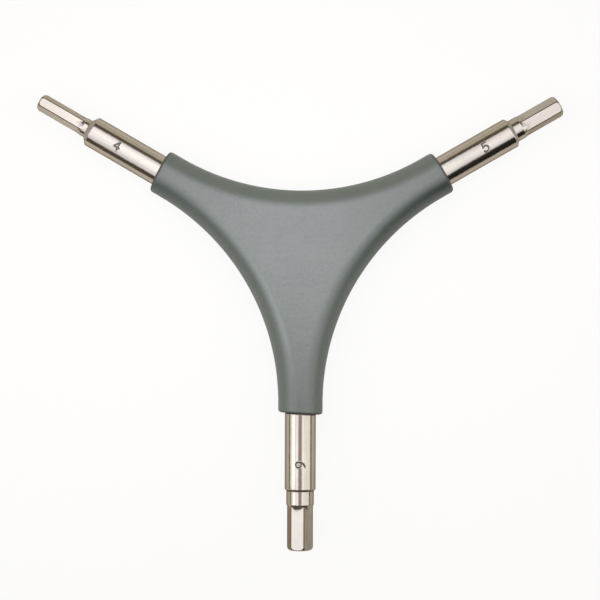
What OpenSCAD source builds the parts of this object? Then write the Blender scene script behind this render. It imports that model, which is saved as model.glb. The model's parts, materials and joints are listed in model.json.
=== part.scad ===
// Three-arm hex key, in millimetres.
// Three steel shanks are pinned in a central hub. A rigid core is moulded round the hub,
// and a soft skin is moulded over the core and a short way along each shank.
// The key lies flat on the XY plane. The arm axes meet above the origin.

/* [Hexagons] */
// Width across flats of the small hexagon
small_af = 4; // [2.5:0.5:6]
// Width across flats of the medium hexagon
medium_af = 5; // [2.5:0.5:6]
// Width across flats of the large hexagon
large_af = 6; // [2.5:0.5:6.5]
// Roll of the small hexagon about its arm, in degrees from a flat that faces up
small_roll = 3; // [0:1:59]
// Roll of the medium hexagon about its arm, in degrees from a flat that faces up
medium_roll = 9; // [0:1:59]
// Roll of the large hexagon about its arm, in degrees from a flat that faces up
large_roll = 13; // [0:1:59]
// Length from the end of the small shank's full diameter to its tip
small_tip = 15.6; // [12:0.1:40]
// Length from the end of the medium shank's full diameter to its tip
medium_tip = 14.5; // [12:0.1:40]
// Length from the end of the large shank's full diameter to its tip
large_tip = 15.8; // [12:0.1:40]
// Length of the small shank's round neck
small_neck = 1.2; // [0.5:0.1:5]
// Length of the medium shank's round neck
medium_neck = 2.2; // [0.5:0.1:5]
// Length of the large shank's round neck
large_neck = 3.6; // [0.5:0.1:5]
// Angle of the shoulder between shank and neck, from the arm's axis
shoulder_angle = 52; // [30:1:60]
// How far a neck stands proud of its hexagon's corners
neck_proud = 0.1; // [0.05:0.01:0.3]
// Depth taken off each hexagon corner
corner_break = 0.06; // [0.02:0.01:0.15]
// Angle of the cone that runs out from neck to flats, from the arm's axis
runout_angle = 20; // [12:1:60]
// Length of the chamfer at each tip
tip_chamfer = 0.8; // [0.3:0.1:1]

/* [Shanks] */
// Diameter of the round shank
shank_d = 8; // [7.8:0.1:9.4]
// Length of the small shank between the grip and its shoulder
small_len = 20.4; // [8:0.1:60]
// Length of the medium shank between the grip and its shoulder
medium_len = 20.4; // [8:0.1:60]
// Length of the large shank between the grip and its shoulder
large_len = 19; // [8:0.1:60]
// Depth by which the shank is turned down inside the grip
seat_step = 0.3; // [0.1:0.05:0.5]
// Diameter of the tail that enters the hub
tail_d = 6; // [4:0.1:6.4]

/* [Grip] */
// Thickness of the grip
grip_t = 11.4; // [10.6:0.1:16]
// Width of the grip at its narrowest, near each end
sleeve_w = 11.4; // [11:0.1:16]
// Distance from the centre to each end of the grip
grip_reach = 42; // [36:0.5:60]
// Distance from the end of the grip back to its narrowest place
waist_back = 3.2; // [0:0.1:6]
// Width of the rounded band between a side and the flat faces, seen from above
edge_band = 4.2; // [2:0.1:5]
// Thickness of the soft skin
skin_t = 1.2; // [0.6:0.1:1.6]
// Length of skin that sits straight on each shank, past the core
sleeve_len = 7; // [4:0.5:12]

/* [Hub] */
// Width of core between the hub and the middle of each concave side
hub_rim = 3.9; // [3.5:0.1:6]
// Thickness of core over each face of the hub
hub_cover = 0.4; // [0.2:0.1:0.8]
// Least thickness of hub between two shank sockets
socket_wall = 1.5; // [1:0.1:3]
// Chamfer round both faces of the hub
hub_chamfer = 0.5; // [0.2:0.1:1]
// Diameter of the pins that lock the shanks
pin_d = 2.5; // [1.5:0.1:3]
// Chamfer at both ends of a pin
pin_chamfer = 0.3; // [0.1:0.05:0.5]

/* [Hidden] */
$fn = 96;
// Overlap that lets a cut run clear of the face it starts from
cut = 1;

// One arm for each hexagon, at equal angles, with the large one pointing straight back
arm_count = len([small_af, medium_af, large_af]);
arm_step = 360 / arm_count;
half_arm = arm_step / 2;
large_angle = 270;
medium_angle = large_angle + arm_step;
small_angle = large_angle - arm_step;
arm_angles = [medium_angle, small_angle, large_angle];

// Half the angle that one flat of a hexagon takes up
hex_sides = 6;
half_flat = 180 / hex_sides;

mid_z = grip_t / 2;
shank_r = shank_d / 2;
seat_r = shank_r - seat_step;
tail_r = tail_d / 2;

// A concave side is an arc, centred between two arms, that runs parallel to an arm at its waist
side_centre = 2 * (grip_reach - waist_back);
side_r = side_centre * sin(half_arm) - sleeve_w / 2;
web_reach = side_centre - side_r;
// A side bulges in one arc from face to face
bulge_r = (pow(grip_t / 2, 2) + pow(edge_band, 2)) / (2 * edge_band);

core_reach = grip_reach - sleeve_len;
core_t = grip_t - 2 * skin_t;
hub_r = web_reach - skin_t - hub_rim;
hub_t = core_t - 2 * hub_cover;
socket_floor = (socket_wall / 2 + tail_r * cos(half_arm)) / sin(half_arm);
pin_reach = (socket_floor + hub_r) / 2;

// Puts a child that stands on the Z axis along an arm
module along_arm(angle) {
    translate([0, 0, mid_z])
        rotate([0, 90, angle])
            children();
}

// Puts a child that stands on the Z axis where an arm's pin is
module at_pin(angle) {
    rotate([0, 0, angle])
        translate([pin_reach, 0, mid_z - hub_t / 2])
            children();
}

// Everything that is cleared from a concave side, with its bulge left standing
module side_bite(radius, bulge) {
    rotate_extrude()
        difference() {
            translate([0, -bulge - cut])
                square([radius + bulge, 2 * (bulge + cut)]);
            translate([radius + bulge, 0])
                circle(r = bulge);
        }
}

// The Y-shaped block: a triangle with a flat end for each arm, less three concave sides
module y_block(inset, reach) {
    thickness = grip_t - 2 * inset;
    translate([0, 0, mid_z])
        difference() {
            linear_extrude(thickness, center = true)
                rotate(large_angle + 180)
                    circle(r = reach / cos(half_arm), $fn = arm_count);
            for (angle = arm_angles)
                rotate([0, 0, angle + 180])
                    translate([side_centre, 0, 0])
                        side_bite(side_r + inset, bulge_r - inset);
        }
}

// The round outline of a shank, from its tail to the end of the cone that runs into the flats
module shank_turning(af, shank_len, neck_len) {
    neck_r = af / 2 / cos(half_flat) + neck_proud;
    shoulder_z = grip_reach + shank_len;
    neck_z = shoulder_z + abs(shank_r - neck_r) / tan(shoulder_angle);
    runout_z = neck_z + neck_len;
    runout_len = neck_r / tan(runout_angle);
    rotate_extrude()
        polygon([
            [0, socket_floor],
            [tail_r, socket_floor],
            [tail_r, core_reach],
            [seat_r, core_reach],
            [seat_r, grip_reach],
            [shank_r, grip_reach],
            [shank_r, shoulder_z],
            [neck_r, neck_z],
            [neck_r, runout_z],
            [0, runout_z + runout_len]
        ]);
}

// The hexagon of a shank, with broken corners and a chamfered tip
module shank_hexagon(af, roll, shank_len, tip_len) {
    corner_r = af / 2 / cos(half_flat);
    root_z = grip_reach + shank_len;
    broken_r = corner_r - corner_break;
    intersection() {
        translate([0, 0, root_z])
            rotate([0, 0, half_flat + roll])
                cylinder(r = corner_r, h = tip_len, $fn = hex_sides);
        translate([0, 0, root_z - cut])
            rotate_extrude()
                polygon([
                    [0, 0],
                    [broken_r, 0],
                    [broken_r, tip_len + cut - tip_chamfer],
                    [broken_r - tip_chamfer, tip_len + cut],
                    [0, tip_len + cut]
                ]);
    }
}

// A whole shank lying along its arm, drilled for its pin
module hex_shank(angle, af, roll, shank_len, tip_len, neck_len) {
    difference() {
        along_arm(angle) {
            shank_turning(af, shank_len, neck_len);
            shank_hexagon(af, roll, shank_len, tip_len);
        }
        at_pin(angle)
            cylinder(d = pin_d, h = hub_t);
    }
}

// A pin with chamfered ends, as long as the hub is thick
module shank_pin(angle) {
    pin_r = pin_d / 2;
    at_pin(angle)
        rotate_extrude()
            polygon([
                [0, 0],
                [pin_r - pin_chamfer, 0],
                [pin_r, pin_chamfer],
                [pin_r, hub_t - pin_chamfer],
                [pin_r - pin_chamfer, hub_t],
                [0, hub_t]
            ]);
}

// The hub before its sockets and pin holes are made
module hub_blank() {
    translate([0, 0, mid_z - hub_t / 2])
        rotate_extrude()
            polygon([
                [0, 0],
                [hub_r - hub_chamfer, 0],
                [hub_r, hub_chamfer],
                [hub_r, hub_t - hub_chamfer],
                [hub_r - hub_chamfer, hub_t],
                [0, hub_t]
            ]);
}

// The three straight holes that the tails fill
module tail_holes(end) {
    for (angle = arm_angles)
        along_arm(angle)
            translate([0, 0, socket_floor])
                cylinder(r = tail_r, h = end - socket_floor);
}

module small_hex_shank() {
    color("lightgray")
        hex_shank(small_angle, small_af, small_roll, small_len, small_tip, small_neck);
}

module medium_hex_shank() {
    color("lightgray")
        hex_shank(medium_angle, medium_af, medium_roll, medium_len, medium_tip, medium_neck);
}

module large_hex_shank() {
    color("lightgray")
        hex_shank(large_angle, large_af, large_roll, large_len, large_tip, large_neck);
}

module small_shank_pin() {
    color("dimgray")
        shank_pin(small_angle);
}

module medium_shank_pin() {
    color("dimgray")
        shank_pin(medium_angle);
}

module large_shank_pin() {
    color("dimgray")
        shank_pin(large_angle);
}

module centre_hub() {
    color("slategray")
        difference() {
            hub_blank();
            tail_holes(hub_r + cut);
            for (angle = arm_angles)
                at_pin(angle)
                    translate([0, 0, -cut])
                        cylinder(d = pin_d, h = hub_t + 2 * cut);
        }
}

module handle_core() {
    color("black")
        difference() {
            y_block(skin_t, core_reach);
            hub_blank();
            tail_holes(core_reach + cut);
        }
}

module grip_skin() {
    color([0.6, 0.63, 0.62])
        difference() {
            y_block(0, grip_reach);
            y_block(skin_t, core_reach);
            for (angle = arm_angles)
                along_arm(angle)
                    cylinder(r = seat_r, h = grip_reach + cut);
        }
}

small_hex_shank();
medium_hex_shank();
large_hex_shank();
small_shank_pin();
medium_shank_pin();
large_shank_pin();
centre_hub();
handle_core();
grip_skin();
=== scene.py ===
"""Three-arm hex key: bright plated shanks in a soft moulded grip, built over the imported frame."""

import json
import math

import bmesh
import bpy
import numpy as np
from bpy.props import FloatProperty, FloatVectorProperty, PointerProperty
from bpy.types import Operator, Panel, PropertyGroup
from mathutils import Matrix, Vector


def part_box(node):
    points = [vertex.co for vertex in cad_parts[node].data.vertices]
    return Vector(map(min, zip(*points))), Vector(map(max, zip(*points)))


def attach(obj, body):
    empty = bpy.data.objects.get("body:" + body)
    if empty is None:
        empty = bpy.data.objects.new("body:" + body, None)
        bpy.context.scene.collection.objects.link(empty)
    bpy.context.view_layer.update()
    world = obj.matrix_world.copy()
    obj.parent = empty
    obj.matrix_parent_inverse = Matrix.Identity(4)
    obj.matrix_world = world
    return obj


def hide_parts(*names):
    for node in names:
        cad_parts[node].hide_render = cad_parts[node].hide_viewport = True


bl_info = {
    "name": "Three-Arm Hex Key",
    "version": (1, 0, 0),
    "blender": (4, 5, 0),
    "location": "3D View > Sidebar > Hex Key",
    "description": "Builds the plated shanks, the soft grip and the studio of a three-arm hex key",
    "category": "Object",
}

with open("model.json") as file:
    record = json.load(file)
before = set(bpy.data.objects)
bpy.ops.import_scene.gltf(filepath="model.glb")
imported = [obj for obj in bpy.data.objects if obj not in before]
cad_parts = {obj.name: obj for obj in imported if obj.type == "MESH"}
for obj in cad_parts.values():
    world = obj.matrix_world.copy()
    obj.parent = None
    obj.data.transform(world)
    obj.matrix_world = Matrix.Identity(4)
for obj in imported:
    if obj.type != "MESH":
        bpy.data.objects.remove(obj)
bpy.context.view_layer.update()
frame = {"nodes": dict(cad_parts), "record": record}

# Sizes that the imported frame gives

ARMS = ("small", "medium", "large")
MOUNTS = {mount["name"]: mount for mount in frame["record"]["mounts"]}
MM_PER_M = 1000


def reach_of(name):
    """Distance of a mount from the upright axis through the hub."""
    x, y, _ = MOUNTS[name]["pos_m"]
    return math.hypot(x, y)


def heading_of(arm):
    """Direction of an arm in plan, as a unit vector."""
    return np.array(MOUNTS[f"{arm}_hex_tip"]["axis"][:2])


def half_bare(arm):
    """Half the length of an arm's full diameter that stands clear of the grip."""
    return MOUNTS[f"{arm}_shank"]["dims"]["length_mm"] / MM_PER_M / 2


MID_HEIGHT = MOUNTS["large_shank"]["pos_m"][2]
SHANK_RADIUS = MOUNTS["large_shank"]["dims"]["r_mm"] / MM_PER_M
GRIP_REACH = reach_of("large_shank") - half_bare("large")
TAIL_START = -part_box("large_hex_shank")[1][1]
CORE_REACH = -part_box("handle_core")[0][1]
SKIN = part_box("grip_skin")[1][2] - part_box("handle_core")[1][2]

# Settings


def length(name, description, default):
    """A length in metres that a user can change."""
    return FloatProperty(
        name=name, description=description, default=default, precision=5, unit="LENGTH"
    )


def angle(name, description, degrees):
    """An angle that a user can change, with its default given in degrees."""
    return FloatProperty(
        name=name, description=description, default=math.radians(degrees), subtype="ANGLE"
    )


def share(name, description, default):
    """A share between nothing and all that a user can change."""
    return FloatProperty(
        name=name, description=description, default=default, min=0.0, max=1.0, subtype="FACTOR"
    )


def colour(name, description, default):
    """A colour that a user can change, as linear red, green and blue."""
    return FloatVectorProperty(
        name=name, description=description, default=default, size=3, min=0.0, max=1.0,
        subtype="COLOR",
    )


class HexKeyShankProperties(PropertyGroup):
    """Sizes and finish of the three shanks."""

    small_flats: length("Small flats", "Width across flats of the small hexagon", 0.004)
    medium_flats: length("Medium flats", "Width across flats of the medium hexagon", 0.005)
    large_flats: length("Large flats", "Width across flats of the large hexagon", 0.006)
    small_roll: angle("Small roll", "Turn of the small hexagon from a flat that faces up", 3)
    medium_roll: angle("Medium roll", "Turn of the medium hexagon from a flat that faces up", 9)
    large_roll: angle("Large roll", "Turn of the large hexagon from a flat that faces up", 13)
    small_neck: length("Small neck", "Length of the small shank's round neck", 0.0012)
    medium_neck: length("Medium neck", "Length of the medium shank's round neck", 0.0022)
    large_neck: length("Large neck", "Length of the large shank's round neck", 0.0036)
    shoulder: angle("Shoulder", "Slope of the cone between shank and neck", 52)
    neck_proud: length("Neck proud", "How far a neck stands out past its hexagon's corners", 0.0001)
    corner_round: length("Corner radius", "Radius of the hexagon's corners", 0.00022)
    small_runout: angle("Small run-out", "Slope where the small neck starts to fall away", 22)
    medium_runout: angle("Medium run-out", "Slope where the medium neck starts to fall away", 22)
    large_runout: angle("Large run-out", "Slope where the large neck starts to fall away", 35)
    tip_depth: length("Tip depth", "How far the rounded tip falls in", 0.00116)
    tip_length: length("Tip length", "Length of the rounded tip", 0.00116)
    tail_radius: length("Tail radius", "Radius of the tail inside the hub", 0.003)
    tail_round: length("Tail cut", "Softness of the tail's end", 0.0003)
    edge_round: length("Edge cut", "Softness of the turned edges", 0.00012)
    shoulder_round: length("Shoulder cut", "Softness of the edge where the shoulder starts", 0.0002)
    stamp_reach: length("Number place", "Distance of the size number from the hub", 0.0545)
    stamp_height: length("Number height", "Height of the size number", 0.0024)
    stamp_stroke: length("Number stroke", "Half the width of the number's stroke", 0.00022)
    stamp_depth: length("Number depth", "Depth of the number's stroke", 0.00014)
    # Painted shade in the corner below each shoulder: the step up to which it is full, and its
    # width on each side of that corner
    shoulder_shade_step: length("Grime step", "Height of a step whose corner is full of grime", 0.00045)
    shoulder_shade_width: length("Grime width", "Width of the grime on each side of that corner", 0.00018)
    # Dirt and painted shadow on each shank at its sleeve's mouth: its share on each arm, and its
    # width
    small_mouth_dark: share("Small caking", "Share of grime at the small sleeve's mouth", 0.25)
    medium_mouth_dark: share("Medium caking", "Share of grime at the medium sleeve's mouth", 0.15)
    large_mouth_dark: share("Large caking", "Share of grime at the large sleeve's mouth", 1.0)
    caking_width: length("Caking width", "Width of the grime along a sleeve's mouth", 0.0004)
    # Colour of the dirt in the number and at the sleeves' mouths, and of the painted shade below
    # the shoulders and at the mouths
    grime: colour("Grime", "Colour of the grime on the shanks", (0.05, 0.04, 0.033))
    wear_width: length("Wear width", "Width of wear on each side of a corner", 0.00018)
    worn: colour("Worn steel", "Colour of corners that have no plating left", (0.08, 0.06, 0.045))
    turned: share("Turned", "Roughness that turning has left on the shoulders", 0.65)
    milled: share("Milled", "Roughness that milling has left where the flats run out", 0.08)
    plating: colour("Plating", "Colour of the bright plating", (0.475, 0.453, 0.393))
    rim: colour("Rim", "Tint of the plating where it turns away from the eye", (0.42, 0.34, 0.26))


class HexKeyGripProperties(PropertyGroup):
    """Sizes and finish of the soft grip."""

    thickness: length("Thickness", "Thickness of the grip", 2 * MID_HEIGHT)
    sleeve_width: length("Sleeve width", "Width of the grip at its narrowest", 0.0114)
    waist_back: length("Waist", "Distance from an end back to the narrowest place", 0.0032)
    edge_band: length("Edge band", "Width of the rounded band seen from above", 0.0042)
    blend_round: length("Blend radius", "Radius between the flat face and the bulging side", 0.0046)
    end_round: length("End radius", "Radius round the end of each sleeve", 0.0007)
    lip_round: length("Lip radius", "Radius round the mouth of each sleeve", 0.00018)
    mouth_depth: length("Mouth depth", "How deep in a sleeve the full diameter ends", 0.0003)
    seat_radius: length("Seat radius", "Radius of the bore and of the seat in it", 0.0037)
    small_skew: length("Small skew", "Slant of the small sleeve's end", -0.00025)
    medium_skew: length("Medium skew", "Slant of the medium sleeve's end", -0.0001)
    large_skew: length("Large skew", "Slant of the large sleeve's end", 0.00035)
    small_shift: length("Small shift", "How far the small sleeve runs past its CAD end", 0.0004)
    medium_shift: length("Medium shift", "How far the medium sleeve runs past its CAD end", 0.0003)
    large_shift: length("Large shift", "How far the large sleeve runs past its CAD end", -0.00027)
    flash: length("Flash", "Height of the moulding line round the sides", 0.00004)
    flash_width: length("Flash width", "Half the width of the moulding line", 0.00014)
    elastomer: colour("Elastomer", "Colour of the soft skin", (0.0985, 0.1205, 0.0995))
    # Painted shade on the sides, which turn away from the light, and the share of it that painted
    # light takes off the sides facing left
    side: colour("Sides", "Colour of the sides, which hands rub less", (0.041, 0.076, 0.051))
    left_side_light: share("Side wear", "Part of that colour that is worn off the left side", 0.6)
    # Painted shade on the near sides, which face away from the light, and on the faces towards the
    # arms' ends, where the light falls off
    soil: colour("Soil", "Colour that hands have left on the skin", (0.006, 0.02, 0.012))
    painted_shade_heading: angle("Soil heading", "Heading of the sides that are soiled most", 280)
    painted_shade_sides: share("Soil on sides", "Share of soil on the sides that are soiled most", 0.92)
    painted_shade_arms: share("Soil along arms", "Share of soil at the ends of the faces", 0.27)
    # Painted highlight along the edge between face and side, brightest on the sides that face the
    # light from the left
    rub: share("Rub", "Share of pale rubbing along the face's edge", 0.8)
    painted_highlight_heading: angle("Rub heading", "Heading of the side whose edge is rubbed most", 195)
    # Dirt and painted shade along the sleeves' ends, where each end turns away from the light and
    # meets its shank
    rim: colour("Rim", "Colour of the grime along the sleeves' ends", (0.02, 0.016, 0.008))


class HexKeyInnerProperties(PropertyGroup):
    """Finish of the pieces inside the grip."""

    core: colour("Core", "Colour of the rigid core", (0.05, 0.05, 0.055))
    dark_steel: colour("Dark steel", "Darkest tone of the hub and the pins", (0.48, 0.48, 0.49))
    light_steel: colour("Light steel", "Palest tone of the hub and the pins", (0.60, 0.60, 0.61))


class HexKeyStageProperties(PropertyGroup):
    """The floor, the light and the camera."""

    floor_half: length("Floor half", "Half the width of the floor", 6.0)
    floor: colour("Floor", "Colour of the floor that lights the key from below", (0.12, 0.12, 0.12))
    paper: colour("Paper", "Colour of the floor as it is seen", (0.77, 0.73, 0.635))
    lift: share("Floor lift", "Share of plain white in the floor as it is seen", 0.9)
    mirrored: share("Mirrored lift", "Part of that lift that shows in metal", 0.12)
    panel_height: length("Panel height", "Height of the light panels", 0.106)
    panel_spread: angle("Panel spread", "Angle over which a panel shines", 150)
    panel_power: FloatProperty(
        name="Panel strength", description="Radiance of the light panels", default=2.1, min=0.0
    )
    panel_tint: colour("Panel tint", "Colour of the light panels", (0.88, 0.89, 1.0))
    room: colour("Room", "Colour of the lit wall behind the key", (0.85, 0.75, 0.63))
    ceiling: colour("Ceiling", "Colour of the room above the panels", (0.55, 0.45, 0.40))
    gloom: colour("Gloom", "Colour of the unlit room", (0.16, 0.115, 0.083))
    front: colour("Front", "Colour of the room on the near side of the key", (0.30, 0.22, 0.17))
    depth: colour("Depth", "Colour of the dark doorway at the front right", (0.02, 0.016, 0.01))
    recess: colour("Recess", "Colour of the dim doorway at the front left", (0.13, 0.095, 0.07))
    screen: FloatVectorProperty(
        name="Side screens", description="Brightness of the screens on the left and the right",
        default=(1.6, 1.55, 1.5), size=3, min=0.0, subtype="COLOR",
    )
    frame_width: length("Frame width", "Width of the picture at the arms' height", 0.15504)
    lens: FloatProperty(
        name="Lens", description="Focal length of the camera in millimetres", default=120.0,
        min=1.0,
    )
    aim: FloatVectorProperty(
        name="Aim", description="Point of the arms' plane at the centre of the picture",
        default=(-0.0002, -0.01216), size=2, unit="LENGTH", precision=5,
    )
    roll: angle("Camera roll", "Turn of the camera about its own axis", 0.2)
    sight: length("Sight", "Distance to which the camera sees", 20.0)


# Mesh helpers

# Lengths below which points are merged, and edges dissolved
MERGE_DISTANCE = 1e-6
SLIVER = 1e-7


def grid_faces(rows, columns, wrap):
    """Four-sided faces of a grid of points, numbered row by row, with the last column joined
    to the first where the grid wraps round."""
    ahead = np.arange(columns if wrap else columns - 1)
    row = np.arange(rows - 1)[:, None] * columns
    following = (ahead + 1) % columns
    faces = np.stack(
        [row + ahead, row + following, row + columns + following, row + columns + ahead], axis=-1
    )
    return faces.reshape(-1, 4)


def make_piece(name, node, points, faces, material, marks):
    """Makes a mesh object from whole arrays of points and faces, with its doubles merged and its
    faces turned outwards, which rides on the root body and stands for a CAD node. Each array of
    marks becomes an attribute that the material reads."""
    mesh = bpy.data.meshes.new(name)
    mesh.vertices.add(len(points))
    mesh.vertices.foreach_set("co", points.astype(np.float32).ravel())
    mesh.loops.add(faces.size)
    mesh.loops.foreach_set("vertex_index", faces.astype(np.int32).ravel())
    mesh.polygons.add(len(faces))
    mesh.polygons.foreach_set("loop_start", np.arange(0, faces.size, 4, dtype=np.int32))
    mesh.update(calc_edges=True)
    for title, values in marks.items():
        layer = mesh.attributes.new(title, "FLOAT", "POINT")
        layer.data.foreach_set("value", values.astype(np.float32).ravel())
    work = bmesh.new()
    work.from_mesh(mesh)
    bmesh.ops.remove_doubles(work, verts=work.verts, dist=MERGE_DISTANCE)
    bmesh.ops.dissolve_degenerate(work, edges=work.edges, dist=SLIVER)
    bmesh.ops.recalc_face_normals(work, faces=work.faces)
    work.to_mesh(mesh)
    work.free()
    mesh.polygons.foreach_set("use_smooth", np.ones(len(mesh.polygons), dtype=bool))
    mesh.materials.append(material)
    piece = bpy.data.objects.new(name, mesh)
    bpy.context.scene.collection.objects.link(piece)
    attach(piece, "root")
    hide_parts(node)


def rounded_path(corners, cuts, steps=6, hold=1.35):
    """Path through the corners, where each inner corner is replaced by a parabola that starts
    and ends at its cut's distance from the corner, with a holding point just outside each end, at
    that distance times the hold."""
    corners = np.asarray(corners, float)
    cuts = np.asarray(cuts, float)[:, None]
    middle = corners[1:-1]
    back = corners[:-2] - middle
    ahead = corners[2:] - middle
    back /= np.linalg.norm(back, axis=1, keepdims=True)
    ahead /= np.linalg.norm(ahead, axis=1, keepdims=True)
    start, end = middle + back * cuts, middle + ahead * cuts
    t = np.linspace(0, 1, steps)[:, None]
    curve = (
        (1 - t) ** 2 * start[:, None] + 2 * t * (1 - t) * middle[:, None] + t**2 * end[:, None]
    )
    held_start = (middle + back * cuts * hold)[:, None]
    held_end = (middle + ahead * cuts * hold)[:, None]
    bends = np.concatenate([held_start, curve, held_end], axis=1).reshape(-1, 2)
    return np.vstack([corners[:1], bends, corners[-1:]])


# Shanks

HEX_SIDES = 6
HALF_FLAT = math.pi / HEX_SIDES
FULL_TURN = 2 * math.pi

# Columns over one flat, over one corner and round the size number
FLAT_STEPS = 21
CORNER_STEPS = 7
STAMP_STEPS_ROUND = 73

# Turn that keeps a flat's outer columns off its corners, and least turn between two columns
COLUMN_HOLD = math.radians(0.8)
COLUMN_GAP = math.radians(0.2)

# Rows along the size number and along the dirt and painted shadow at a sleeve's mouth
STAMP_STEPS_ALONG = 72
MOUTH_DARK_STEPS = 8

# Half a size number's width as a share of its height, and the margin along the shank and round it
STAMP_SHARE = 0.36
STAMP_MARGIN = 0.0006
STAMP_TURN = math.radians(6)

# Power that steepens the walls of a number's groove
GROOVE_POWER = 0.7

# Where the burr beside a stroke peaks and how wide it is, as shares of the stroke's half width,
# and its height as a share of the stroke's depth
BURR_PLACE = 1.25
BURR_WIDTH = 0.3
BURR_HEIGHT = 0.16

# Most of a shoulder's slope that its rounded edge may take
SHOULDER_SHARE = 0.3

# Places of the rows along the run-out, the flats, the tip's curve and the end face, as shares
RUNOUT_ROWS = np.array([0.02, 0.1, 0.2, 0.32, 0.45, 0.6, 0.78, 1.0])[:, None]
FLAT_ROWS = np.array([0.012, 0.2, 0.5, 0.8, 0.995, 1.0])[:, None]
TIP_ROWS = np.array([0.985, 0.8, 0.6, 0.4, 0.2, 0.0])[:, None]
END_ROWS = np.array([0.93, 0.5, 0.0])[:, None]


def off_middle(turn):
    """Turn from the middle of the nearest flat, either way."""
    return np.abs((turn + HALF_FLAT) % (2 * HALF_FLAT) - HALF_FLAT)


def hexagon_radius(turn, flats, corner_round):
    """Distance from the axis to a hexagon with rounded corners, in the direction given by the
    turn from a flat: the flat's distance over the cosine, and near a corner the far root of the
    circle that touches both flats."""
    apothem = flats / 2
    off = off_middle(turn)
    centre = (apothem - corner_round) / math.cos(HALF_FLAT)
    lean = HALF_FLAT - off
    bend = centre * np.cos(lean) + np.sqrt(
        np.maximum(corner_round**2 - (centre * np.sin(lean)) ** 2, 0)
    )
    return np.where(off < flat_angle(flats, corner_round), apothem / np.cos(off), bend)


def flat_angle(flats, corner_round):
    """Turn from the middle of a flat to where its corner's rounding starts."""
    apothem = flats / 2
    return math.atan((apothem - corner_round) * math.tan(HALF_FLAT) / apothem)


def corner_wear(turn, radius, width):
    """Wear round a hexagon: full at each corner, and gone at the width's distance from it."""
    off = off_middle(turn)
    return np.clip(1 - radius * (HALF_FLAT - off) / width, 0, 1)


def unwound(turn):
    """A turn brought to within half a turn of straight up, either way."""
    return (turn + math.pi) % FULL_TURN - math.pi


def turn_columns(flats, corner_round, roll, stamp_half):
    """Angles round a shank: evenly spread over the flats, close together over the corners, and
    close together again over the size number."""
    edge = flat_angle(flats, corner_round)
    flat = np.linspace(-edge + COLUMN_HOLD, edge - COLUMN_HOLD, FLAT_STEPS)
    corner = np.linspace(edge, 2 * HALF_FLAT - edge, CORNER_STEPS)
    face = np.concatenate([flat, corner])
    around = (roll + 2 * HALF_FLAT * np.arange(HEX_SIDES)[:, None] + face).ravel() % FULL_TURN
    extra = np.linspace(-stamp_half, stamp_half, STAMP_STEPS_ROUND) % FULL_TURN
    gap = np.abs(unwound(extra[:, None] - around)).min(axis=1)
    return np.sort(np.concatenate([around, extra[gap > COLUMN_GAP]]))


def arc_points(centre, radius, start, end, count):
    """Points along a circle from one angle to another, in degrees."""
    t = np.radians(np.linspace(start, end, count))
    return np.stack([centre[0] + radius * np.cos(t), centre[1] + radius * np.sin(t)], axis=1)


def number_strokes(arm):
    """Strokes of the size number, as paths in a box that is one unit high and centred."""
    if arm == "small":
        paths = [np.array([[0.44, 0.0], [0.44, 1.0], [0.0, 0.32], [0.62, 0.32]])]
    elif arm == "medium":
        bowl = arc_points((0.27, 0.32), 0.32, 140, -145, 20)
        paths = [np.vstack([[[0.56, 1.0], [0.10, 1.0], [0.05, 0.55]], bowl])]
    else:
        paths = [
            arc_points((0.30, 0.30), 0.30, 0, 360, 24),
            arc_points((0.74, 0.32), 0.74, 180, 108, 12),
        ]
    return [path - np.array([0.3, 0.5]) for path in paths]


def stroke_distance(points, paths):
    """Least distance from each point to the strokes, segment by segment."""
    starts = np.vstack([path[:-1] for path in paths])
    spans = np.vstack([np.diff(path, axis=0) for path in paths])
    off = points[:, None, :] - starts
    along = np.clip((off * spans).sum(-1) / (spans**2).sum(-1), 0, 1)
    return np.linalg.norm(off - along[..., None] * spans, axis=-1).min(axis=1)


def number_groove(arm, along, across, sizes):
    """Depth of the stamped number at each point, and the share of it that is groove: along the
    strokes a power of one less the square of the distance, as a share of the half width, with a
    faint burr thrown up beside it. The number reads from left to right or down the key."""
    reading = -1.0 if arm == "small" else 1.0
    unit = sizes.stamp_height
    points = np.stack([reading * along, -reading * across], axis=-1).reshape(-1, 2) / unit
    far = stroke_distance(points, number_strokes(arm)) * unit / sizes.stamp_stroke
    groove = np.clip(1 - far**2, 0, 1) ** GROOVE_POWER
    burr = np.exp(-(((far - BURR_PLACE) / BURR_WIDTH) ** 2))
    depth = sizes.stamp_depth * (groove - BURR_HEIGHT * burr)
    return depth.reshape(along.shape), groove.reshape(along.shape)


def shank_places(arm, sizes):
    """Radius of an arm's neck, and the distances from the hub at which its shoulder starts and its
    neck starts and ends. The neck stands proud of the hexagon's corners, and the shoulder is as
    long as its depth over its slope."""
    flats = getattr(sizes, f"{arm}_flats")
    neck = flats / 2 / math.cos(HALF_FLAT) + sizes.neck_proud
    shoulder = reach_of(f"{arm}_shank") + half_bare(arm)
    neck_start = shoulder + (SHANK_RADIUS - neck) / math.tan(sizes.shoulder)
    return neck, shoulder, neck_start, neck_start + getattr(sizes, f"{arm}_neck")


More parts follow.
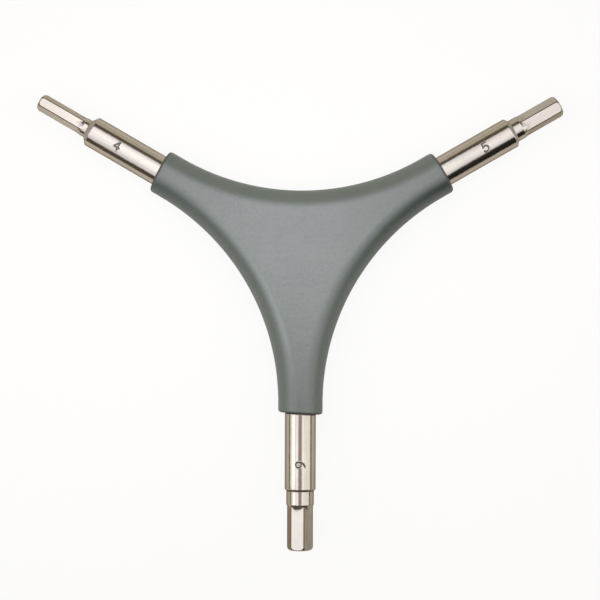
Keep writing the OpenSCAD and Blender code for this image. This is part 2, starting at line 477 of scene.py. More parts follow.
def turned_profile(arm, stamped, sizes, grip):
    """Distances along the arm and radii of the round part, from the tail to the end of the neck: a
    path with rounded corners, and rows on the full diameter along the sleeve's mouth and over the
    size number."""
    neck, shoulder, neck_start, neck_end = shank_places(arm, sizes)
    mouth = GRIP_REACH + getattr(grip, f"{arm}_shift") - grip.mouth_depth
    edge = sizes.edge_round
    slope = math.hypot(neck_start - shoulder, SHANK_RADIUS - neck)
    shoulder_cut = min(sizes.shoulder_round, SHOULDER_SHARE * slope)
    path = rounded_path(
        [
            (TAIL_START, 0.0),
            (TAIL_START, sizes.tail_radius),
            (CORE_REACH, sizes.tail_radius),
            (CORE_REACH, grip.seat_radius),
            (mouth, grip.seat_radius),
            (mouth, SHANK_RADIUS),
            (shoulder, SHANK_RADIUS),
            (neck_start, neck),
            (neck_start + 2 * sizes.shoulder_shade_width, neck),
            (neck_end - edge, neck),
            (neck_end, neck),
        ],
        [
            sizes.tail_round, edge, edge, edge / 2, edge / 2, shoulder_cut, edge, edge / 3,
            edge / 3,
        ],
    )
    mouth_dark_rows = np.linspace(mouth + edge, mouth + 2 * sizes.caking_width, MOUTH_DARK_STEPS)
    full = np.full(len(mouth_dark_rows) + len(stamped), SHANK_RADIUS)
    split = np.searchsorted(path[:, 0], stamped[0])
    along = np.concatenate([path[:split, 0], mouth_dark_rows, stamped, path[split:, 0]])
    radius = np.concatenate([path[:split, 1], full, path[split:, 1]])
    return along, radius


def round_part(arm, turn, stamp_half, sizes, grip):
    """Distances along the arm, radii and marks of a shank's round part, which is the turned profile
    less the size number.

    The painted shade below the shoulder is a bell over the distance from that corner. It is full
    where the step is no higher than the shade's own step, and else less by the square of how many
    times higher it is. The shoulder is rough from turning, less by that share of painted shade. The
    dirt and painted shadow at the sleeve's mouth fade over the outer half of their width."""
    neck, shoulder, neck_start, _ = shank_places(arm, sizes)
    stamp_span = STAMP_SHARE * sizes.stamp_height + STAMP_MARGIN
    stamped = np.linspace(
        sizes.stamp_reach - stamp_span, sizes.stamp_reach + stamp_span, STAMP_STEPS_ALONG
    )
    along, radius = turned_profile(arm, stamped, sizes, grip)
    u = along[:, None] + 0 * turn
    r = radius[:, None] + 0 * turn

    wound = unwound(turn)
    depth, groove = number_groove(arm, u - sizes.stamp_reach, SHANK_RADIUS * wound + 0 * u, sizes)
    near = (u >= stamped[0]) & (u <= stamped[-1]) & (np.abs(wound) < stamp_half)
    r = r - np.where(near, depth, 0)

    # Painted shade in the corner below the shoulder
    held = min(sizes.shoulder_shade_step / (SHANK_RADIUS - neck), 1.0) ** 2
    cornered = held * np.exp(-(((u - neck_start) / sizes.shoulder_shade_width) ** 2))
    # Dirt and painted shadow on the shank where it leaves the sleeve's mouth
    skew = getattr(grip, f"{arm}_skew")
    shift = getattr(grip, f"{arm}_shift")
    leaving = GRIP_REACH + sleeve_end(-SHANK_RADIUS * np.sin(turn), skew, shift, grip)
    mouth_dark_end = leaving + sizes.caking_width
    mouth_darkening = np.clip((mouth_dark_end - u) / (0.5 * sizes.caking_width), 0, 1)
    mouth_darkening *= getattr(sizes, f"{arm}_mouth_dark")
    marks = {
        # Dirt in the number's groove, painted shade below the shoulder, and dirt and painted shadow
        # at the sleeve's mouth
        "grime": np.maximum.reduce([np.where(near, groove, 0), cornered, mouth_darkening]),
        "wear": 0 * u,
        "tooling": sizes.turned * (1 - held) * ((u > shoulder) & (u < neck_start)),
    }
    return u, r, marks


def hexagon_part(arm, turn, sizes):
    """Distances along the arm, radii and marks of a shank from the end of its neck to its tip.

    Each direction falls from the neck to the hexagon along a parabola, which starts at the
    run-out's slope and ends level with the flat, so its length is twice its depth over the slope.
    The flats run on to the rounded tip, a quarter of an ellipse turned about the axis, which each
    direction joins where the ellipse's radius equals the hexagon's, and the end face closes at the
    axis. The corners are worn, the more the further they are from the neck."""
    flats = getattr(sizes, f"{arm}_flats")
    off_flat = turn - getattr(sizes, f"{arm}_roll")
    neck, _, _, neck_end = shank_places(arm, sizes)
    tip = reach_of(f"{arm}_hex_tip")
    hexagon = hexagon_radius(off_flat, flats, sizes.corner_round)

    runout = math.tan(getattr(sizes, f"{arm}_runout"))
    r_runout = neck - (neck - hexagon) * (1 - (1 - RUNOUT_ROWS) ** 2)
    u_runout = neck_end + RUNOUT_ROWS * 2 * (neck - hexagon) / runout
    end_radius = hexagon.max() - sizes.tip_depth
    meet = np.arcsin((hexagon - end_radius) / sizes.tip_depth)
    u_tip = tip - sizes.tip_length * (1 - np.cos(meet * TIP_ROWS))
    r_tip = end_radius + sizes.tip_depth * np.sin(meet * TIP_ROWS)
    tip_start = tip - sizes.tip_length * (1 - np.cos(meet))
    u_flat = u_runout[-1] + FLAT_ROWS * (tip_start - u_runout[-1])
    r_flat = hexagon + 0 * u_flat
    r_end = END_ROWS * end_radius + 0 * turn
    u_end = tip + 0 * r_end

    u = np.vstack([u_runout, u_flat, u_tip, u_end])
    r = np.vstack([r_runout, r_flat, r_tip, r_end])
    wear = corner_wear(off_flat, hexagon, sizes.wear_width)
    worn_rows = [wear * RUNOUT_ROWS, wear + 0 * u_flat, wear + 0 * u_tip, 0 * u_end]
    marks = {
        "grime": 0 * u,
        "wear": np.vstack(worn_rows),
        "tooling": np.vstack([sizes.milled + 0 * u_runout, 0 * u[len(u_runout):]]),
    }
    return u, r, marks


def shank_surface(arm, sizes, grip):
    """Points and marks of a shank, row by row from its tail to its tip: the round part and the
    hexagon, both drawn round the arm's axis. The marks are the dirt in the number and at the
    sleeve's mouth together with the painted shade below the shoulder and at that mouth, the wear of
    the hexagon's corners, the roughness that cutting has left, the distance along the arm and the
    distance round it."""
    flats = getattr(sizes, f"{arm}_flats")
    roll = getattr(sizes, f"{arm}_roll")
    stamp_half = 0.5 * sizes.stamp_height / SHANK_RADIUS + STAMP_TURN
    turn = turn_columns(flats, sizes.corner_round, roll, stamp_half)
    u_round, r_round, marks_round = round_part(arm, turn, stamp_half, sizes, grip)
    u_hexagon, r_hexagon, marks_hexagon = hexagon_part(arm, turn, sizes)
    u = np.vstack([u_round, u_hexagon])
    r = np.vstack([r_round, r_hexagon])
    marks = {title: np.vstack([marks_round[title], marks_hexagon[title]]) for title in marks_round}
    marks["along"] = u
    marks["round"] = SHANK_RADIUS * np.abs(unwound(turn)) + 0 * u

    ahead = heading_of(arm)
    side = np.array([ahead[1], -ahead[0]])
    plan = u[..., None] * ahead + (r * np.sin(turn))[..., None] * side
    points = np.concatenate([plan, (MID_HEIGHT + r * np.cos(turn))[..., None]], axis=-1)
    return points, marks


# Grip

HALF_ARM = math.radians(60)

# Places of a section's columns across the flat face, as shares, and columns along its two arcs
FACE_COLUMNS = np.append(np.linspace(0, 0.96, 15), 1.0)
BLEND_STEPS = 7
SIDE_STEPS = 16

# Turn at which the columns of a side draw together, and the columns over the moulding line
SIDE_TURN = math.radians(84)
FLASH_TURNS = np.radians([86, 87.4, 88.4, 89.2, 90])

# Rows over the web on the outside and the inside, along a sleeve, round its end and its lip
WEB_STEPS = 40
INNER_STEPS = 16
SLEEVE_STEPS = 7
SLEEVE_END_STEPS = 7
LIP_STEPS = 5

# Places of the rows across a sleeve's end face and the wall at the core's end, as shares
WALL_ROWS = np.array([0.12, 0.5, 0.88])[:, None]

# Length over which a bore steps in to its seat, and distance of the holding row behind that step
BORE_STEP = 0.00002
BORE_HOLD = 0.0002

# Turn from the core's end to the first ray behind it
CORE_GAP = math.radians(1.5)

# Tilt from which a side takes its painted shade in full
PAINTED_SHADE_TILT = 0.5

# Tilt at the middle of the painted highlight along the edge, width of its bell, and tilt below
# which it fades
HIGHLIGHT_TILT = 0.22
HIGHLIGHT_WIDTH = 0.18
HIGHLIGHT_START = 0.15

# Share of the grip's reach at which the painted highlight ends, and share over which it fades
HIGHLIGHT_END = 0.85
HIGHLIGHT_FADE = 0.35


def bay_reach(sizes):
    """Distance from the hub to the centre of a concave side's arc, which is opposite an arm and
    level with the waists of the other two."""
    return 2 * (GRIP_REACH - sizes.waist_back)


def sleeve_end(v, skew, shift, sizes):
    """How far a sleeve's end is moved along its arm: the shift, plus the skew times the place's
    share of the sleeve's half width, less the skew's size, so that the slant only takes away."""
    return skew * v / (sizes.sleeve_width / 2) - abs(skew) + shift


def grip_section(width, inset, sizes):
    """Half sections of the grip, one row per place: from the middle of the upper face across its
    flat, down an arc of the blend's radius and an arc of the bulge's radius to the side, and the
    same again in reverse to the middle of the underside. An inset moves the whole line inwards.
    The moulding line is a bell over the height, and only the outside has it."""
    half = sizes.thickness / 2
    bulge = (half**2 + sizes.edge_band**2) / (2 * sizes.edge_band)
    blend = sizes.blend_round
    shift = math.sqrt((bulge - blend) ** 2 - (half - blend) ** 2)
    swing = math.atan2(shift, half - blend)
    bend = np.linspace(0, swing, BLEND_STEPS)[1:]
    side = np.concatenate([np.linspace(swing, SIDE_TURN, SIDE_STEPS)[1:], FLASH_TURNS])
    width, inset = width[:, None], inset[:, None]
    flat_end = width - bulge + shift
    q = np.concatenate(
        [
            flat_end * FACE_COLUMNS,
            flat_end + (blend - inset) * np.sin(bend),
            width - bulge + (bulge - inset) * np.sin(side),
        ],
        axis=1,
    )
    z = np.concatenate(
        [
            half - inset + 0 * FACE_COLUMNS,
            half - blend + (blend - inset) * np.cos(bend),
            (bulge - inset) * np.cos(side),
        ],
        axis=1,
    )
    q = q + np.where(inset > 0, 0, sizes.flash) * np.exp(-((z / sizes.flash_width) ** 2))
    return (
        np.concatenate([q, q[:, -2::-1]], axis=1),
        np.concatenate([z, -z[:, -2::-1]], axis=1),
    )


def grip_half(sizes, skew, shift):
    """Points of one half of an arm's skin, in the arm's own plan coordinates: along the arm,
    towards one side, and up from the middle plane.

    The places run from the hub outwards over the outside, round the sleeve's end into its mouth,
    back down the bore, and over the inside to the hub. Over the web, a place is a ray from the
    centre of the concave side's arc to the arm's axis. Along the sleeve it is a square section."""
    arc_centre = bay_reach(sizes)
    arc_offset = arc_centre * math.sin(HALF_ARM)
    arc_radius = arc_offset - sizes.sleeve_width / 2
    waist = arc_centre * math.cos(HALF_ARM)
    end = sizes.end_round
    lip = sizes.lip_round
    mouth = sizes.mouth_depth
    seat = sizes.seat_radius

    def fan(first, last, count):
        """Rays from the arc's centre between two leans from the square."""
        lean = np.linspace(first, last, count)
        return waist - arc_offset * np.tan(lean), lean, arc_offset / np.cos(lean) - arc_radius

    def square(u, width):
        """Square sections at given distances along the arm."""
        return np.asarray(u, float), np.zeros(len(u)), np.full(len(u), width)

    sleeve = sizes.sleeve_width / 2
    turn = np.linspace(0, math.pi / 2, SLEEVE_END_STEPS)[1:]
    outer = [
        (fan(math.pi / 2 - HALF_ARM, 0, WEB_STEPS), 0.0),
        (square(np.linspace(waist, GRIP_REACH - end, SLEEVE_STEPS)[1:], sleeve), 0.0),
        (square(GRIP_REACH - end + end * np.sin(turn), sleeve), end * (1 - np.cos(turn))),
    ]
    core_width = arc_offset - math.sqrt(arc_radius**2 - (CORE_REACH - waist) ** 2)
    core_lean = math.atan((waist - CORE_REACH) / arc_offset)
    inner = [
        (square([CORE_REACH], core_width), SKIN),
        (fan(core_lean + CORE_GAP, math.pi / 2 - HALF_ARM, INNER_STEPS), SKIN),
    ]

    def sections(runs):
        """Points of runs of places, each run with its inset."""
        u = np.concatenate([run[0] for run, _ in runs])
        lean = np.concatenate([run[1] for run, _ in runs])
        width = np.concatenate([run[2] for run, _ in runs])
        inset = np.concatenate([np.broadcast_to(value, run[0].shape) for run, value in runs])
        q, z = grip_section(width, inset, sizes)
        return u[:, None] + q * np.sin(lean)[:, None], q * np.cos(lean)[:, None], z

    u_out, v_out, z_out = sections(outer)
    u_in, v_in, z_in = sections(inner)

    def ring(v, z, radius):
        """The same line drawn onto circles round the arm's axis."""
        scale = np.asarray(radius, float)[:, None] / np.hypot(v, z)
        return v * scale, z * scale

    v_end, z_end = v_out[-1], z_out[-1]
    v_lip, z_lip = ring(v_end, z_end, [SHANK_RADIUS + lip])
    v_face = v_end + WALL_ROWS * (v_lip - v_end)
    z_face = z_end + WALL_ROWS * (z_lip - z_end)
    u_face = np.full(v_face.shape, GRIP_REACH)
    roll = np.linspace(0, math.pi / 2, LIP_STEPS)
    radius = np.concatenate(
        [SHANK_RADIUS + lip * (1 - np.sin(roll)), [SHANK_RADIUS, seat, seat, seat]]
    )
    steps = [mouth - BORE_STEP, mouth, mouth + BORE_HOLD, GRIP_REACH - CORE_REACH]
    depth = np.concatenate([lip * (1 - np.cos(roll)), steps])
    v_bore, z_bore = ring(v_end, z_end, radius)
    u_bore = GRIP_REACH - depth[:, None] + 0 * v_bore
    v_seat, z_seat = v_in[0], z_in[0]
    v_wall = v_bore[-1] + WALL_ROWS * (v_seat - v_bore[-1])
    z_wall = z_bore[-1] + WALL_ROWS * (z_seat - z_bore[-1])
    u_wall = np.full(v_wall.shape, CORE_REACH)

    u = np.vstack([u_out, u_face, u_bore, u_wall, u_in])
    v = np.vstack([v_out, v_face, v_bore, v_wall, v_in])
    z = np.vstack([z_out, z_face, z_bore, z_wall, z_in])
    ends = np.clip((u - waist) / (GRIP_REACH - waist), 0, 1)
    marks = {
        # Dirt and painted shade round each sleeve's end
        "rim": np.clip((u - GRIP_REACH) / end + 1, 0, 1),
        # Share of painted shade on the sides, which grows from the faces to the middle plane
        "side": 1 - np.abs(z) / (sizes.thickness / 2),
    }
    u = u + ends * sleeve_end(v, skew, shift, sizes)
    return u, v, z, marks


def facing(towards, heading):
    """Cosine between a side's direction and a heading, or nothing where it faces away."""
    return np.clip(towards @ np.array([math.cos(heading), math.sin(heading)]), 0, 1)


def grip_painted_shade(plan, towards, tilt, sizes):
    """Share of painted shade on the skin: on a side, the fourth power of the cosine between its
    direction and the heading that is shaded most, and on a face, a share that grows with the
    distance from the hub, as the light falls off towards the arms' ends."""
    sides = facing(towards, sizes.painted_shade_heading) ** 4 * np.clip(tilt / PAINTED_SHADE_TILT, 0, 1)
    faces = np.clip(np.linalg.norm(plan, axis=-1) / GRIP_REACH, 0, 1) * (1 - tilt)
    return sizes.painted_shade_sides * sides + sizes.painted_shade_arms * faces


def grip_painted_highlight(plan, towards, tilt, sizes):
    """Share of painted highlight along the edge between face and side: a bell over the tilt, times
    the sixth power of the cosine between the side's direction and the heading that is lit most,
    which fades along the arms."""
    bell = np.exp(-(((tilt - HIGHLIGHT_TILT) / HIGHLIGHT_WIDTH) ** 2))
    edge = bell * np.clip(tilt / HIGHLIGHT_START, 0, 1)
    fade = np.clip((HIGHLIGHT_END - np.linalg.norm(plan, axis=-1) / GRIP_REACH) / HIGHLIGHT_FADE, 0, 1)
    return sizes.rub * edge * fade * facing(towards, sizes.painted_highlight_heading) ** 6


def grip_surface(sizes):
    """Points, faces and marks of the whole skin: both halves of all three arms, each the same
    grid. A side's direction points to the centre of its concave side, and the skin's tilt there
    is taken as that of a circle of the same height. Painted light takes off part of a side's
    painted shade, by the share of its direction that points to the left."""
    points, faces, halves, count = [], [], [], 0
    for arm in ARMS:
        ahead = heading_of(arm)
        for hand in (1.0, -1.0):
            skew = hand * getattr(sizes, f"{arm}_skew")
            u, v, z, marks = grip_half(sizes, skew, getattr(sizes, f"{arm}_shift"))
            side = hand * np.array([-ahead[1], ahead[0]])
            plan = u[..., None] * ahead + v[..., None] * side
            grid = np.concatenate([plan, (MID_HEIGHT + z)[..., None]], axis=-1)
            bay = bay_reach(sizes) * (math.cos(HALF_ARM) * ahead + math.sin(HALF_ARM) * side)
            towards = bay - plan
            towards /= np.linalg.norm(towards, axis=-1, keepdims=True)
            tilt = np.sqrt(np.clip(1 - (2 * z / sizes.thickness) ** 2, 0, 1))
            # Painted shade on the near sides and towards the arms' ends
            marks["soil"] = grip_painted_shade(plan, towards, tilt, sizes)
            # Painted highlight along the face's edge on the left
            marks["rub"] = grip_painted_highlight(plan, towards, tilt, sizes)
            # Painted light on the sides facing left takes off part of their painted shade
            marks["side"] *= 1 - sizes.left_side_light * np.clip(-towards[..., 0], 0, 1)
            points.append(grid.reshape(-1, 3))
            faces.append(grid_faces(*u.shape, wrap=False) + count)
            halves.append(marks)
            count += u.size
    marks = {title: np.stack([half[title] for half in halves]) for title in halves[0]}
    return np.vstack(points), np.vstack(faces), marks


# Materials

# Scale along the drawn bar of its streaks, which stretches them
STREAK_STRETCH = 0.06


class NodeTree:
    """A node tree, with short calls that add a node and join it up."""

    def __init__(self, owner):
        owner.use_nodes = True
        self.tree = owner.node_tree

    def add(self, kind, settings=None, **inputs):
        """Adds a node, sets its settings and fills or joins its inputs by name or number."""
        node = self.tree.nodes.new(kind)
        for key, value in (settings or {}).items():
            setattr(node, key, value)
        for key, value in inputs.items():
            socket = int(key[1:]) if key[1:].isdigit() else key.replace("_", " ")
            self.put(node.inputs[socket], value)
        return node

    def put(self, socket, value):
        """Joins an output to a socket, or sets the socket's value."""
        if isinstance(value, bpy.types.NodeSocket):
            self.tree.links.new(value, socket)
        else:
            socket.default_value = value

    def spread(self, value, low, high, start=0.0, end=1.0):
        """Moves a value from one range to another, with both ends held."""
        node = self.add(
            "ShaderNodeMapRange", Value=value, From_Min=start, From_Max=end, To_Min=low,
            To_Max=high,
        )
        return node.outputs["Result"]

    def math(self, operation, first, second):
        """Result of an operation on two values."""
        node = self.add("ShaderNodeMath", {"operation": operation}, i0=first, i1=second)
        return node.outputs[0]

    def mix(self, factor, first, second):
        """Blend of two colours."""
        node = self.add("ShaderNodeMix", {"data_type": "RGBA"}, i0=factor)
        self.put(node.inputs[6], first)
        self.put(node.inputs[7], second)
        return node.outputs[2]


class RoomShader(NodeTree):
    """The world's node tree, in which colour follows the direction of sight."""

    def __init__(self):
        bpy.context.scene.world = bpy.data.worlds.new("room")
        super().__init__(bpy.context.scene.world)

    def directions(self):
        """Shares of a direction that point to the right, to the back and up."""
        place = self.add("ShaderNodeTexCoord").outputs["Generated"]
        return self.add("ShaderNodeSeparateXYZ", Vector=place).outputs

    def rise(self, value, edge):
        """Share that grows from nothing to all between the two ends of an edge."""
        return self.spread(value, 0, 1, *edge)

    def fall(self, value, edge):
        """Share that shrinks from all to nothing between the two ends of an edge."""
        return self.spread(value, 1, 0, *edge)


class Shader(NodeTree):
    """A material's node tree, which reads the place on the piece."""

    def __init__(self, name):
        self.material = bpy.data.materials.new(name)
        super().__init__(self.material)
        self.surface = self.tree.nodes["Principled BSDF"]
        self.place = self.add("ShaderNodeTexCoord").outputs["Object"]

    def noise(self, scale, detail, roughness=0.5, place=None):
        """Smooth noise between 0 and 1 with this many waves to the metre."""
        node = self.add(
            "ShaderNodeTexNoise", Vector=place or self.place, Scale=scale, Detail=detail,
            Roughness=roughness,
        )
        return node.outputs["Fac"]

    def mark(self, name):
        """A mark that the piece's points carry."""
        return self.add("ShaderNodeAttribute", {"attribute_name": name}).outputs["Fac"]

    def bump(self, height, distance, strength, under=None):
        """Normal of a surface raised by a height between 0 and 1 times a distance in metres."""
        node = self.add("ShaderNodeBump", Height=height, Distance=distance, Strength=strength)
        if under is not None:
            self.put(node.inputs["Normal"], under)
        return node.outputs["Normal"]


def rgba(colour, shade=1.0):
    """A colour for a socket: its channels times the shade, and opaque."""
    return (*(channel * shade for channel in colour), 1.0)


def bright_plating(sizes):
    """Bright warm plating: mirror-like, slightly wavy from the turning below it, with fine
    polishing marks, faint dull patches, dirt in the number and at the sleeves' mouths, painted
    shade below the shoulders and at the mouths, places that cutting has left rough, and corners
    where the plating has worn away."""
    shader = Shader("bright_plating")
    waves = shader.noise(420, detail=2.0)
    fine = shader.noise(5200, detail=3.0, roughness=0.6)
    patches = shader.noise(160, detail=3.0)
    grime = shader.mark("grime")
    drawn = shader.add(
        "ShaderNodeCombineXYZ", X=shader.math("MULTIPLY", shader.mark("along"), STREAK_STRETCH),
        Y=shader.mark("round"),
    ).outputs[0]
    streaks = shader.noise(3200, detail=3.0, roughness=0.6, place=drawn)
    normal = shader.bump(waves, distance=0.00003, strength=0.8)
    normal = shader.bump(streaks, distance=0.000003, strength=0.5, under=normal)
    normal = shader.bump(fine, distance=0.0000012, strength=0.6, under=normal)
    cloudy = shader.mix(
        shader.spread(patches, 0.0, 0.8, 0.35, 0.75),
        rgba(sizes.plating), rgba(sizes.plating, shade=0.88),
    )
    streaked = shader.mix(
        shader.spread(streaks, 0.0, 0.5, 0.5, 0.75), cloudy, rgba(sizes.plating, shade=0.82)
    )
    wear_and_highlight = shader.math(
        "MULTIPLY", shader.mark("wear"), shader.spread(patches, 0.7, 1.2, 0.3, 0.7)
    )
    bared = shader.mix(shader.spread(wear_and_highlight, 0.0, 0.95, 0.05, 0.45), streaked, rgba(sizes.worn))
    # Dirt, and painted shade below the shoulders and at the sleeves' mouths
    tint = shader.mix(shader.spread(grime, 0.0, 0.85), bared, rgba(sizes.grime))
    dull = shader.math("ADD", shader.spread(patches, 0.14, 0.2), shader.spread(grime, 0.0, 0.3))
    dull = shader.math("ADD", dull, shader.mark("tooling"))
    surface = shader.surface
    surface.inputs["Metallic"].default_value = 1.0
    surface.inputs["Specular Tint"].default_value = rgba(sizes.rim)
    shader.put(surface.inputs["Base Color"], tint)
    shader.put(surface.inputs["Roughness"], dull)
    shader.put(surface.inputs["Normal"], normal)
    return shader.material


def ground_steel(colours):
    """Turned and ground steel, grey and slightly rough."""
    shader = Shader("ground_steel")
    marks = shader.noise(2500, detail=4.0, roughness=0.6)
    surface = shader.surface
    surface.inputs["Metallic"].default_value = 1.0
    shader.put(
        surface.inputs["Base Color"],
        shader.mix(marks, rgba(colours.dark_steel), rgba(colours.light_steel)),
    )
    shader.put(surface.inputs["Roughness"], shader.spread(marks, 0.28, 0.42))
    shader.put(surface.inputs["Normal"], shader.bump(marks, distance=0.000004, strength=0.5))
    return shader.material


def filled_nylon(colour):
    """Hard black moulded core with a faint sparkle of filler."""
    shader = Shader("filled_nylon")
    flecks = shader.noise(3000, detail=3.0, roughness=0.7)
    surface = shader.surface
    shader.put(
        surface.inputs["Base Color"],
        shader.mix(flecks, rgba(colour, shade=0.8), rgba(colour, shade=1.5)),
    )
    shader.put(surface.inputs["Roughness"], shader.spread(flecks, 0.45, 0.6))
    shader.put(surface.inputs["Normal"], shader.bump(flecks, distance=0.00001, strength=0.5))
    return shader.material


def soft_elastomer(sizes):
    """Soft satin elastomer: a fine pebbled grain with dark pits, slow changes of tone, painted
    shade on the sides that leaves the faces paler, more painted shade on the near sides and towards
    the arms' ends, a painted highlight along the face's edge on the left, and dirt and painted
    shade along the sleeves' ends."""
    shader = Shader("soft_elastomer")
    pebbles = shader.add(
        "ShaderNodeTexVoronoi", {"feature": "SMOOTH_F1"}, Vector=shader.place, Scale=1500.0,
        Smoothness=0.6,
    ).outputs["Distance"]
    grain = shader.noise(1900, detail=3.0, roughness=0.65)
    tone = shader.noise(110, detail=4.0, roughness=0.55)
    height = shader.math("ADD", shader.spread(pebbles, 0.6, 0.0, 0.0, 0.8), grain)
    mottled = shader.mix(
        shader.spread(tone, 0.0, 1.0, 0.3, 0.7),
        rgba(sizes.elastomer, shade=0.93), rgba(sizes.elastomer, shade=1.07),
    )
    pitted = shader.mix(
        shader.spread(height, 0.0, 0.3, 0.95, 0.4), mottled, rgba(sizes.elastomer, shade=0.7)
    )
    # Painted shade on the sides
    sided = shader.mix(
        shader.spread(shader.mark("side"), 0.0, 1.0, 0.0, 0.6), pitted, rgba(sizes.side)
    )
    # Painted shade on the near sides and towards the arms' ends
    shaded = shader.mix(shader.mark("soil"), sided, rgba(sizes.soil))
    # Painted highlight along the face's edge on the left
    wear_and_highlight = shader.mix(shader.mark("rub"), shaded, rgba(sizes.elastomer, shade=1.6))
    # Dirt and painted shade along the sleeves' ends
    rim = shader.mark("rim")
    tint = shader.mix(shader.spread(rim, 0.0, 0.95, 0.0, 0.7), wear_and_highlight, rgba(sizes.rim))
    satin = shader.math(
        "ADD", shader.spread(height, 0.47, 0.4, 0.4, 1.0), shader.spread(rim, 0.0, 0.35)
    )
    surface = shader.surface
    shader.put(surface.inputs["Base Color"], tint)
    shader.put(surface.inputs["Roughness"], satin)
    surface.inputs["Specular IOR Level"].default_value = 1.0
    shader.put(surface.inputs["Normal"], shader.bump(height, distance=0.00003, strength=0.9))
    return shader.material


# Stage

# Share of the full strength, and near left and far right corners, of each light panel
PANELS = {
    "left_panel": (1.0, (-0.062, -0.120), (-0.027, 0.111)),
    "front_left_panel": (0.95, (-0.190, -0.095), (-0.062, 0.015)),
    "far_left_panel": (0.82, (-0.200, 0.015), (-0.062, 0.111)),
    "bridge_panel": (1.82, (-0.027, -0.030), (0.022, 0.055)),
    "back_panel": (0.95, (-0.027, 0.055), (0.022, 0.111)),
    "right_panel": (0.76, (0.022, -0.020), (0.094, 0.111)),
    "front_right_panel": (0.92, (0.022, -0.120), (0.094, -0.020)),
    "far_right_panel": (0.76, (0.094, -0.035), (0.200, 0.111)),
}

# Edges of the room's parts, each as the two ends of a soft change in the share of a direction that
# points to the right, to the back or up
FRONT_EDGE = (-0.75, -0.5)
DOORWAY_SIDES = (0.22, 0.36)
DOORWAY_BACK = (-0.4, -0.2)
CEILING_EDGE = (0.80, 0.97)
WALL_FRONT = (0.25, 0.45)
WALL_TOP = (0.30, 0.40)
SCREEN_INSIDE = (0.62, 0.70)
SCREEN_FRONT = (-0.30, -0.22)
SCREEN_BACK = (0.55, 0.65)
SCREEN_FOOT = (0.14, 0.22)
SCREEN_TOP = (0.68, 0.76)
# How much a screen's top slopes down to the back
SCREEN_SLOPE = 0.5


def lay_floor(settings):
    """Pale floor, whose shadows the camera sees through a share of plain white."""
    corner = np.array([-settings.floor_half, settings.floor_half])
    x, y = np.meshgrid(corner, corner)
    points = np.stack([x, y, 0 * x], axis=-1).reshape(-1, 3)
    mesh = bpy.data.meshes.new("floor")
    mesh.from_pydata(points.tolist(), [], [(0, 1, 3, 2)])
    shader = Shader("pale_floor")
    shader.tree.nodes.remove(shader.surface)
    white = shader.add("ShaderNodeEmission", Color=(1, 1, 1, 1), Strength=1.0).outputs[0]
    rays = shader.add("ShaderNodeLightPath").outputs
    mirrored = shader.math("MAXIMUM", rays["Is Glossy Ray"], rays["Is Transmission Ray"])
    seen = shader.math("MAXIMUM", rays["Is Camera Ray"], mirrored)
    paper = shader.mix(seen, rgba(settings.floor), rgba(settings.paper))
    matt = shader.add("ShaderNodeBsdfDiffuse", Color=paper).outputs[0]
    lifted = shader.math(
        "MAXIMUM", rays["Is Camera Ray"], shader.math("MULTIPLY", mirrored, settings.mirrored)
    )
    blend = shader.add("ShaderNodeMixShader", i0=shader.math("MULTIPLY", lifted, settings.lift))
    shader.put(blend.inputs[1], matt)
    shader.put(blend.inputs[2], white)
    shader.put(shader.tree.nodes["Material Output"].inputs["Surface"], blend.outputs[0])
    mesh.materials.append(shader.material)
    floor = bpy.data.objects.new("floor", mesh)
    bpy.context.scene.collection.objects.link(floor)


def hang_panels(settings):
    """Wide light panels close over the key, brightest straight below, with a slot between them
    over the large arm. A panel's energy is its radiance straight below, over the gain that its
    spread gives, times pi and its area."""
    half = settings.panel_spread / 2
    radiance = settings.panel_power * (1 - half / math.tan(half))
    for name, (share_of_power, low, high) in PANELS.items():
        lamp = bpy.data.lights.new(name, "AREA")
        lamp.shape = "RECTANGLE"
        lamp.size = high[0] - low[0]
        lamp.size_y = high[1] - low[1]
        lamp.spread = settings.panel_spread
        lamp.energy = share_of_power * radiance * math.pi * lamp.size * lamp.size_y
        lamp.color = settings.panel_tint
        panel = bpy.data.objects.new(name, lamp)
        panel.location = (
            (low[0] + high[0]) / 2, (low[1] + high[1]) / 2, settings.panel_height
        )
        panel.visible_camera = False
        bpy.context.scene.collection.objects.link(panel)


def paint_room(settings):
    """Dim room with a pale ceiling, a lit wall behind the key, a bright screen on each side and two
    doorways in front, which face the sides of the small and the medium arm: there the direction
    keeps close to the upright plane square to that arm."""
    room = RoomShader()
    across, back, up = room.directions()
    lit = room.mix(room.fall(back, FRONT_EDGE), rgba(settings.gloom), rgba(settings.front))
    for arm, dark in (("small", settings.recess), ("medium", settings.depth)):
        ahead = heading_of(arm)
        aside = room.math(
            "ADD", room.math("MULTIPLY", across, ahead[0]), room.math("MULTIPLY", back, ahead[1])
        )
        doorway = room.math(
            "MULTIPLY", room.fall(room.math("ABSOLUTE", aside, 0), DOORWAY_SIDES),
            room.fall(back, DOORWAY_BACK),
        )
        lit = room.mix(doorway, lit, rgba(dark))
    lit = room.mix(room.rise(up, CEILING_EDGE), lit, rgba(settings.ceiling))
    wall = room.math("MULTIPLY", room.rise(back, WALL_FRONT), room.fall(up, WALL_TOP))
    lit = room.mix(wall, lit, rgba(settings.room))
    wide = room.rise(room.math("ABSOLUTE", across, 0), SCREEN_INSIDE)
    level = room.math("MULTIPLY", room.rise(back, SCREEN_FRONT), room.fall(back, SCREEN_BACK))
    top = room.math("ADD", up, room.math("MULTIPLY", back, SCREEN_SLOPE))
    raised = room.math("MULTIPLY", room.rise(up, SCREEN_FOOT), room.fall(top, SCREEN_TOP))
    screens = room.math("MULTIPLY", room.math("MULTIPLY", wide, level), raised)
    lit = room.mix(screens, lit, rgba(settings.screen))
    room.put(room.tree.nodes["Background"].inputs["Color"], lit)


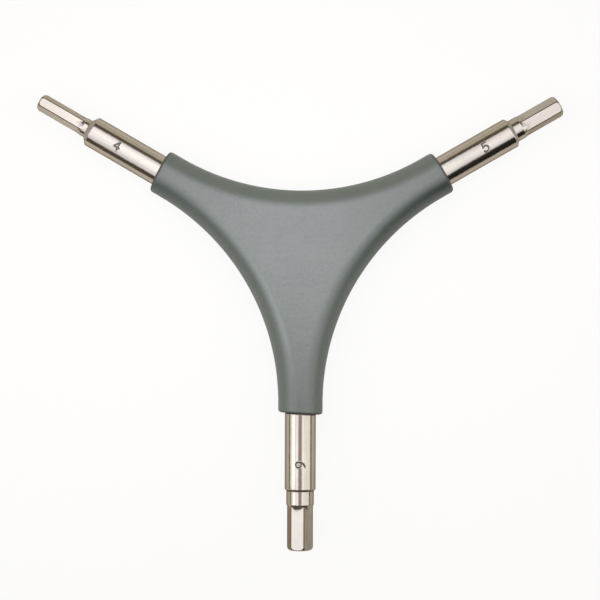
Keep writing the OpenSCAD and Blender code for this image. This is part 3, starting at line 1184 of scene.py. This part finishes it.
def set_camera(settings):
    """Camera straight above the key, far enough to take in the frame's width."""
    data = bpy.data.cameras.new("camera")
    data.lens = settings.lens
    data.clip_end = settings.sight
    rise = settings.frame_width * settings.lens / data.sensor_width
    camera = bpy.data.objects.new("camera", data)
    camera.location = (*settings.aim, MID_HEIGHT + rise)
    camera.rotation_euler = (0.0, 0.0, settings.roll)
    bpy.context.scene.collection.objects.link(camera)
    bpy.context.scene.camera = camera


# Operators


class HEXKEY_OT_shanks(Operator):
    """Builds the three plated shanks over their CAD nodes"""

    bl_idname = "hexkey.shanks"
    bl_label = "Build Shanks"

    def execute(self, context):
        sizes = context.scene.hex_key_shanks
        grip = context.scene.hex_key_grip
        finish = bright_plating(sizes)
        for arm in ARMS:
            points, marks = shank_surface(arm, sizes, grip)
            faces = grid_faces(*marks["along"].shape, wrap=True)
            make_piece(
                f"{arm}_plated_shank", f"{arm}_hex_shank",
                points.reshape(-1, 3), faces, finish, marks,
            )
        return {"FINISHED"}


class HEXKEY_OT_grip(Operator):
    """Builds the soft skin of the grip over its CAD node"""

    bl_idname = "hexkey.grip"
    bl_label = "Build Grip"

    def execute(self, context):
        sizes = context.scene.hex_key_grip
        points, faces, marks = grip_surface(sizes)
        make_piece(
            "soft_grip_skin", "grip_skin", points, faces, soft_elastomer(sizes), marks
        )
        return {"FINISHED"}


class HEXKEY_OT_inner_works(Operator):
    """Gives the hub, the pins and the core, which stay as CAD solids, their finishes"""

    bl_idname = "hexkey.inner_works"
    bl_label = "Finish Inner Works"

    def execute(self, context):
        colours = context.scene.hex_key_inner
        steel = ground_steel(colours)
        finishes = {"handle_core": filled_nylon(colours.core)}
        finishes.update({f"{arm}_shank_pin": steel for arm in ARMS}, centre_hub=steel)
        for node, finish in finishes.items():
            materials = frame["nodes"][node].data.materials
            materials.clear()
            materials.append(finish)
        return {"FINISHED"}


class HEXKEY_OT_stage(Operator):
    """Sets out the floor, the light panels, the room and the camera"""

    bl_idname = "hexkey.stage"
    bl_label = "Set Stage"

    def execute(self, context):
        settings = context.scene.hex_key_stage
        lay_floor(settings)
        hang_panels(settings)
        paint_room(settings)
        set_camera(settings)
        context.scene.view_settings.view_transform = "Standard"
        return {"FINISHED"}


class HEXKEY_PT_panel(Panel):
    """Settings and steps of the hex key"""

    bl_idname = "HEXKEY_PT_panel"
    bl_label = "Hex Key"
    bl_space_type = "VIEW_3D"
    bl_region_type = "UI"
    bl_category = "Hex Key"

    def draw(self, context):
        for title, group in GROUPS.items():
            box = self.layout.box()
            box.label(text=title)
            settings = getattr(context.scene, group)
            for name in settings.bl_rna.properties.keys():
                if name not in ("rna_type", "name"):
                    box.prop(settings, name)
        for step in STEPS:
            self.layout.operator(step.bl_idname)


GROUPS = {
    "Shanks": "hex_key_shanks",
    "Grip": "hex_key_grip",
    "Inner works": "hex_key_inner",
    "Stage": "hex_key_stage",
}
PROPERTIES = (
    HexKeyShankProperties, HexKeyGripProperties, HexKeyInnerProperties, HexKeyStageProperties
)
STEPS = (HEXKEY_OT_shanks, HEXKEY_OT_grip, HEXKEY_OT_inner_works, HEXKEY_OT_stage)
CLASSES = (*PROPERTIES, *STEPS, HEXKEY_PT_panel)


def register():
    for kind in CLASSES:
        bpy.utils.register_class(kind)
    for group, kind in zip(GROUPS.values(), PROPERTIES):
        setattr(bpy.types.Scene, group, PointerProperty(type=kind))


def unregister():
    for group in GROUPS.values():
        delattr(bpy.types.Scene, group)
    for kind in reversed(CLASSES):
        bpy.utils.unregister_class(kind)


def main():
    """Builds the whole key and its stage."""
    register()
    bpy.ops.hexkey.shanks()
    bpy.ops.hexkey.grip()
    bpy.ops.hexkey.inner_works()
    bpy.ops.hexkey.stage()


if __name__ == "__main__":
    main()
